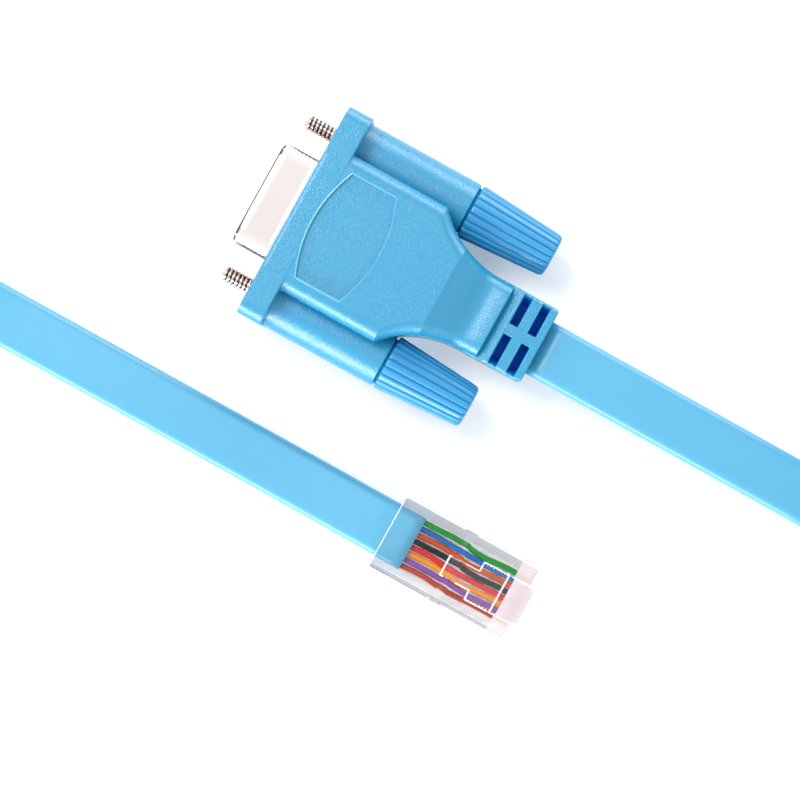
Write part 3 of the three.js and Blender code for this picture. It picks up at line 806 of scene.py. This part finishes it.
def insert_field(x, y, z):
    """The moulded insert, with a funnel and a wider bore for each contact."""
    h = z - AXIS_HEIGHT
    block = d_field(y, h, SHELL_WALL + INSERT_ROOM, 7, 1.7)
    block = meet(block, between(x, INSERT_FRONT, INSERT_BACK), 0.2)
    funnel = np.clip(ENTRY_FUNNEL - (x - INSERT_FRONT), 0, ENTRY_FUNNEL)
    for side, up in contact_places():
        far = np.hypot(y - side, z - up)
        wide = np.minimum(CONTACT_RADIUS + INSERT_ROOM - far, x - SHELL_FRONT - 0.9)
        block = meet(block, np.maximum(ENTRY_RADIUS + funnel - far, wide), 0.03)
    return block


def build_insert():
    xs = np.concatenate([np.arange(-23.3, -21.9, 0.12), np.arange(-21.9, -13.0, 0.5)])
    ys = np.arange(-8.1, 8.15, 0.14)
    zs = np.arange(3.6, 11.9, 0.14)
    points, faces, normals = net(insert_field, xs, ys, zs)
    insert = piece("socket_insert_moulded", points, faces, socket_insulator(), normals=normals)
    stand_for(insert, "cable", "socket_insulator", "socket_insert")


def build_socket_contacts():
    gold = gold_plate()
    start = CONTACT_START
    end = CONTACT_START + CONTACT_LENGTH
    mouth = CONTACT_RADIUS - 0.06
    outline = (
        (start, CONTACT_BORE), (start, mouth), (start + 0.1, CONTACT_RADIUS),
        (end - 0.1, CONTACT_RADIUS), (end, mouth), (end, CONTACT_BORE))
    for i, (side, up) in enumerate(contact_places()):
        points, faces = turned(outline, side, up, 20)
        contact = piece(f"socket_contact_{i + 1}_turned", points, faces[:-2], gold, smooth=False)
        stand_for(contact, "cable", "gold_plate", f"socket_contact_{i + 1}")


# Thumbscrews
def knob_rows(y, angles):
    """Rings of the fluted outside, from the end by the barrel to the far end."""
    length = KNOB_END - KNOB_START
    stations = [(0, 0.3), (0.08, 0.12), (0.2, 0.03), (0.4, 0), (1.1, 0)]
    stations += [(along, 0) for along in np.linspace(2, 11.6, 12)]
    stations += [(length - back, inset) for back, inset in (
        (1, 0), (0.6, 0.02), (0.3, 0.12), (0.1, 0.3), (0, 0.6))]
    flutes = FLUTE_DEPTH * (0.5 - 0.5 * np.cos(angles * KNOB_FLUTES)) ** FLUTE_POWER
    rows = []
    for along, inset in stations:
        radius = KNOB_NEAR_RADIUS + (KNOB_FAR_RADIUS - KNOB_NEAR_RADIUS) * along / length
        share = 1.0 if inset < 0.2 else 0.6
        rows.append(ring_at(
            KNOB_START + along, y, AXIS_HEIGHT, radius - inset - flutes * share, angles))
    return rows


def build_knob(name, y, body):
    angles = turn(KNOB_FLUTES * 12)
    bore = SCREW_RADIUS + SCREW_ROOM
    near = BARREL_END + KNOB_CLEARANCE
    inside = ((KNOB_BORE_END, bore), (near, bore), (near, KNOB_HUB), (KNOB_START + 0.02, KNOB_HUB))
    rows = [ring_at(x, y, AXIS_HEIGHT, radius, angles) for x, radius in inside]
    rows += knob_rows(y, angles)
    faces = skin((len(rows), len(angles)))
    item = piece(f"{name}_fluted", np.concatenate(rows), faces, knob_moulding())
    stand_for(item, body, "knob_moulding", name)


def screw_rows(y, angles):
    """Rings of the screw: its threaded length and then its plain shank."""
    thread_end = SCREW_TIP + THREAD_LENGTH
    rows = []
    for x in np.arange(SCREW_TIP, thread_end, SCREW_PITCH / THREAD_STEPS):
        phase = (x / SCREW_PITCH - angles / (2 * math.pi)) % 1
        ridge = np.clip(np.abs(phase - 0.5) * 2 * 1.2 - 0.1, 0, 1)
        fade = np.clip((thread_end - x) / SCREW_PITCH, 0, 1)
        taper = np.clip((SCREW_TIP + 0.5 - x) * 0.7, 0, 0.4)
        radius = SCREW_RADIUS - np.maximum(ridge * THREAD_DEPTH * fade, taper)
        rows.append(ring_at(x, y, AXIS_HEIGHT, radius, angles))
    for x in (thread_end, SCREW_END):
        rows.append(ring_at(x, y, AXIS_HEIGHT, SCREW_RADIUS, angles))
    return rows


def build_screw(name, y, body):
    count = 36
    rows = screw_rows(y, turn(count))
    points = np.concatenate(rows)
    sides = np.array(skin((len(rows), count))[:-2])
    middle = points[sides].mean(axis=1)
    far = np.hypot(middle[:, 1] - y, middle[:, 2] - AXIS_HEIGHT)
    # Faces down in the thread's roots take darker steel: painted shade
    painted_shade_faces = (far < SCREW_RADIUS - ROOT_SHARE * THREAD_DEPTH) & (middle[:, 0] > SCREW_TIP + 0.4)
    cut = nickel_steel("cut_steel", CUT_STEEL)
    item = part_of(f"{name}_threaded", points, sides, ~painted_shade_faces, cut)
    stand_for(item, body, "nickel_steel", name)
    roots = nickel_steel("thread_roots_painted_shade", THREAD_PAINTED_SHADE_STEEL)
    stand_for(part_of(f"{name}_roots", points, sides, painted_shade_faces, roots), body, "nickel_steel")
    tip = [list(reversed(range(count)))]
    stand_for(piece(f"{name}_end", rows[0], tip, cut), body, "nickel_steel")


# Flat cable
def coil_points():
    """The spare length: a layer wound inwards, a rise at the inner turn and a layer wound back out."""
    points = []
    half = int(COIL_LAYER_TURNS * 360)
    for degrees in range(0, 2 * half + 1, 10):
        turns_from_middle = abs(degrees - half) / 360
        radius = COIL_OUTER - COIL_PITCH * (COIL_LAYER_TURNS - turns_from_middle)
        rise = min(max((degrees - half + 40) / 80, 0), 1)
        z = COIL_LOW + COIL_LAYER_HEIGHT * rise * rise * (3 - 2 * rise)
        angle = math.radians(degrees - 90)
        dx = radius * math.cos(angle)
        dy = radius * math.sin(angle)
        if dx > 0:
            near_tie = min(max((14 - abs(dy)) / 9, 0), 1)
            z += TIE_LIFT * near_tie * near_tie * (3 - 2 * near_tie)
        points.append((COIL_CENTRE[0] + dx, COIL_CENTRE[1] + dy, z, 90))
    return points


def smooth_points(points, steps):
    """A centripetal curve through points, with so many steps from each to the next."""
    points = np.array(points, float)
    points = np.vstack([2 * points[0] - points[1], points, 2 * points[-1] - points[-2]])
    gaps = np.sqrt(np.linalg.norm(np.diff(points[:, :3], axis=0), axis=1))
    curve = []
    for i in range(1, len(points) - 2):
        p0, p1, p2, p3 = points[i - 1:i + 3]
        d0, d1, d2 = gaps[i - 1:i + 2]
        t1 = ((p1 - p0) / d0 - (p2 - p0) / (d0 + d1) + (p2 - p1) / d1) * d1
        t2 = ((p2 - p1) / d1 - (p3 - p1) / (d1 + d2) + (p3 - p2) / d2) * d1
        for k in range(steps):
            t = k / steps
            curve.append(
                (2 * t ** 3 - 3 * t ** 2 + 1) * p1 + (t ** 3 - 2 * t ** 2 + t) * t1
                + (3 * t ** 2 - 2 * t ** 3) * p2 + (t ** 3 - t ** 2) * t2)
    curve.append(points[-2])
    return np.array(curve)


def cable_section():
    """Places across and through the flat cable, its edges round and its faces a little hollow."""
    flat = CABLE_WIDTH / 2
    radius = CABLE_THICKNESS / 2
    section = []
    for side in (1, -1):
        for i in range(13):
            angle = -math.pi / 2 + math.pi * i / 12
            reach = abs(math.cos(angle)) ** 0.9
            section.append((side * (flat - radius + radius * reach), side * radius * math.sin(angle)))
        for share in (0.6, 0.25, -0.25, -0.6):
            section.append((side * (flat - radius) * share, side * (radius - 0.03)))
    return section


def build_cable():
    route = smooth_points(list(HOOD_LEAD) + coil_points() + list(PLUG_LEAD), 3)
    centres = route[:, :3]
    rolls = np.radians(np.clip(route[:, 3], 0, 90))
    heading = np.gradient(centres, axis=0)
    heading /= np.linalg.norm(heading, axis=1)[:, None]
    side = np.cross([0, 0, 1], heading)
    side /= np.linalg.norm(side, axis=1)[:, None]
    above = np.cross(heading, side)
    across = side * np.cos(rolls)[:, None] + above * np.sin(rolls)[:, None]
    through = np.cross(heading, across)
    section = cable_section()
    rows = []
    for centre, wide, thick in zip(centres, across, through):
        rows.append(centre + np.array([u * wide + v * thick for u, v in section]))
    faces = skin((len(rows), len(section)))
    cable = piece("cable_jacket_run", np.concatenate(rows), faces, cable_jacket())
    stand_for(cable, "cable", "cable_jacket", "cable_from_hood", "cable_coil", "cable_to_plug")
    return cable, [tuple(c * MM) for c in centres]


def build_tie():
    """A woven strap round one side of the coil, its corners round."""
    x = COIL_CENTRE[0]
    corners = (
        (x + TIE_INNER, TIE_CORNER, 180), (x + TIE_OUTER, TIE_CORNER, 270),
        (x + TIE_OUTER, TIE_HEIGHT - TIE_CORNER, 0), (x + TIE_INNER, TIE_HEIGHT - TIE_CORNER, 90))
    inside = TIE_CORNER - TIE_THICKNESS
    edges = (
        (TIE_CORNER, -TIE_HALF_WIDTH), (TIE_CORNER, TIE_HALF_WIDTH),
        (inside, TIE_HALF_WIDTH), (inside, -TIE_HALF_WIDTH))
    rows = []
    for across, up, start in corners:
        for degrees in range(start, start + 91, 15):
            c = math.cos(math.radians(degrees))
            s = math.sin(math.radians(degrees))
            rows.append(np.array([
                (across + reach * c, COIL_CENTRE[1] + side, up + reach * s)
                for reach, side in edges]))
    faces = skin((len(rows), len(edges)), closed_along=True)
    tie = piece("coil_tie_woven", np.concatenate(rows), faces, tie_fabric(), smooth=False)
    stand_for(tie, "cable", "tie_fabric", "coil_tie")
    return tie


# Modular plug
def plug_field(x, y, z):
    v = y - PLUG_Y
    height = np.clip(PLUG_HIGH - (x - PLUG_STEP), PLUG_LOW, PLUG_HIGH)
    body = meet(between(v, -PLUG_HALF, PLUG_HALF), (z - height) * 0.85, 0.25)
    body = meet(body, -z, 0.25)
    body = meet(body, between(x, PLUG_REAR, PLUG_FRONT), 0.25)
    groove = np.maximum(between(x, *GROOVE), np.abs(v) - GROOVE_HALF)
    body = meet(body, -np.maximum(groove, PLUG_LOW - GROOVE_DEPTH - z), 0.05)
    return join(body, latch_field(x, v, z), EDGE_ROUND)


def latch_field(x, v, z):
    """The sprung latch, rising from the nose to its narrow tab."""
    rise = PLUG_LOW + (LATCH_NOSE - x) * (LATCH_RISE / LATCH_LENGTH)
    half = np.where(x > LATCH_SHOULDER, LATCH_HALF, LATCH_TAB_HALF)
    latch = np.maximum(np.maximum(z - rise - LATCH_THICKNESS, rise - z), np.abs(v) - half)
    middle = LATCH_NOSE - LATCH_LENGTH / 2 - 0.2
    outline = round_box(x - middle, v, LATCH_LENGTH / 2 + 0.2, LATCH_HALF, LATCH_CORNER)
    return np.maximum(np.maximum(latch, outline), LATCH_NOSE - LATCH_LENGTH - x)


def build_plug():
    xs = graded((16.5, 0.17, 35.24, 0.05, 35.54, 0.17, 40.15))
    ys = np.arange(PLUG_Y - 6.2, PLUG_Y + 6.25, 0.17)
    zs = np.arange(-0.25, 12.7, 0.17)
    points, faces, normals = net(plug_field, xs, ys, zs)
    lean = np.abs(normals[faces].mean(axis=1)).max(axis=1)
    x, y = points[faces].mean(axis=1).T[:2]
    # Bevels, which take the white painted highlight
    edge = (lean < 0.86) & (np.abs(x - PLUG_STEP - 0.7) > 1)
    hazy = (x > WIRE_END - 0.5) & ~edge
    # Side walls, which take the greyer painted shade
    wall = (np.abs(y - PLUG_Y) > 4.5) & ~edge & ~hazy
    kinds = (
        ("clear", ~edge & ~hazy & ~wall, clear_plastic()),
        ("walls", wall, wall_plastic_painted_shade()),
        ("haze", hazy, hazy_plastic()),
        ("edges", edge, painted_highlight_edge()))
    parts = []
    for name, chosen, material in kinds:
        part = part_of(f"modular_plug_{name}", points, faces, chosen, material, normals)
        part.visible_diffuse = False
        part.visible_shadow = name in ("walls", "haze")
        parts.append(part)
    stand_for(parts[0], "cable", "clear_plastic", "modular_plug")
    for part in parts[1:]:
        stand_for(part, "cable", "clear_plastic")
    return parts


def wire_y(index):
    return PLUG_Y + (index - (WIRE_COUNT - 1) / 2) * WIRE_PITCH


def build_wires():
    """Tubes that sway a little together, and a little each on its own."""
    items = []
    angles = turn(WIRE_SIDES)
    share = np.linspace(0, 1, 48)
    places = JACKET_END - 0.3 + share * (WIRE_END - JACKET_END + 0.2)
    held = np.sin(math.pi * share)
    for i, (slot, rgb) in enumerate(WIRE_COLOURS):
        sway = 0.2 * np.sin(2 * math.pi * share * 1.1 + 0.3) * held
        sway += 0.1 * np.sin(2 * math.pi * (share * 1.7 + i * 0.37)) * held
        rise = 0.25 * np.sin(2 * math.pi * (share * 1.3 + i * 0.29)) * held
        rows = [
            ring_at(x, wire_y(i) + aside, JACKET_Z + up, WIRE_RADIUS, angles)
            for x, aside, up in zip(places, sway, rise)]
        faces = skin((len(rows), WIRE_SIDES))
        wire = piece(f"wire_{i + 1}_coated", np.concatenate(rows), faces, wire_coating(slot, rgb))
        stand_for(wire, "cable", slot, f"wire_{i + 1}")
        items.append(wire)
    return items


def blade_outline():
    """A contact blade from the side, as places along X and up."""
    front = PLUG_FRONT - 0.5
    top = JACKET_Z - WIRE_RADIUS - 0.1
    rear = front - BLADE_LENGTH
    outline = [(rear, BLADE_LOW + 0.4), (rear + 0.5, BLADE_LOW), (front - BLADE_ROUND, BLADE_LOW)]
    for angle in (0.4, 0.8, 1.2, 1.57):
        outline.append((
            front - BLADE_ROUND + BLADE_ROUND * math.sin(angle),
            BLADE_LOW + BLADE_ROUND - BLADE_ROUND * math.cos(angle)))
    return outline + [(front, top), (rear, top)]


def build_blades():
    items = []
    gold = gold_plate()
    outline = blade_outline()
    faces = skin((2, len(outline)))
    for i in range(WIRE_COUNT):
        rows = []
        for side in (BLADE_THICKNESS / 2, -BLADE_THICKNESS / 2):
            rows += [(x, wire_y(i) + side, z) for x, z in outline]
        blade = piece(f"plug_contact_{i + 1}_blade", rows, faces, gold, smooth=False)
        stand_for(blade, "cable", "gold_plate", f"plug_contact_{i + 1}")
        items.append(blade)
    return items


# Camera, light and floor
def build_camera():
    data = bpy.data.cameras.new("camera")
    data.sensor_width = 36
    data.lens = 100
    data.clip_start = 0.01
    camera = bpy.data.objects.new("camera", data)
    camera.location = (0.00925, -0.0164, 0.330)
    camera.rotation_euler = (0, 0, math.radians(29.0))
    bpy.context.scene.collection.objects.link(camera)
    bpy.context.scene.camera = camera


def area_light(name, place, target, size, power):
    data = bpy.data.lights.new(name, "AREA")
    data.shape = "RECTANGLE"
    data.size, data.size_y = size
    data.energy = power
    light = bpy.data.objects.new(name, data)
    light.location = place
    direction = Vector(target) - Vector(place)
    light.rotation_euler = direction.to_track_quat("-Z", "Y").to_euler()
    bpy.context.scene.collection.objects.link(light)


def build_light():
    world = bpy.data.worlds.new("surround")
    world.use_nodes = True
    nodes = world.node_tree.nodes
    links = world.node_tree.links
    place = nodes.new("ShaderNodeTexCoord")
    parts = nodes.new("ShaderNodeSeparateXYZ")
    aside = nodes.new("ShaderNodeMath")
    aside.operation = "ABSOLUTE"
    across = nodes.new("ShaderNodeMapRange")
    across.inputs["To Min"].default_value = WORLD_ABOVE
    across.inputs["To Max"].default_value = WORLD_ASIDE
    links.new(place.outputs["Generated"], parts.inputs["Vector"])
    links.new(parts.outputs["Y"], aside.inputs[0])
    links.new(aside.outputs["Value"], across.inputs["Value"])
    links.new(across.outputs["Result"], nodes["Background"].inputs["Strength"])
    nodes["Background"].inputs["Color"].default_value = (1, 1, 1, 1)
    bpy.context.scene.world = world
    bpy.context.scene.view_settings.view_transform = "Standard"
    area_light("key", (-0.8, 0.24, 1.33), (0, 0, 0), (0.6, 0.6), 12.5)
    area_light("front_strip", (-0.1, -0.5, 0.12), (0, -0.01, 0.01), (0.7, 0.08), 4.0)
    area_light("back_strip", (0, 0.5, 0.12), (0, 0.01, 0.01), (0.7, 0.12), 1.8)


def build_floor():
    material = shader("floor_sweep", (250, 250, 250), 0.8)
    half = 2000
    corners = [(-half, -half, 0), (half, -half, 0), (half, half, 0), (-half, half, 0)]
    floor = piece("floor_sweep", corners, [(0, 1, 2, 3)], material, smooth=False)


build_camera()
build_light()
build_floor()
cable, centreline = build_cable()
tie = build_tie()
plug = build_plug()
wires = build_wires()
blades = build_blades()
build_hood()
build_shell()
build_plate()
build_insert()
build_socket_contacts()
for side_name, side_y in (("left", SCREW_Y), ("right", -SCREW_Y)):
    build_knob(f"knob_{side_name}", side_y, f"thumbscrew_{side_name}")
    build_screw(f"jackscrew_{side_name}", side_y, f"thumbscrew_{side_name}")
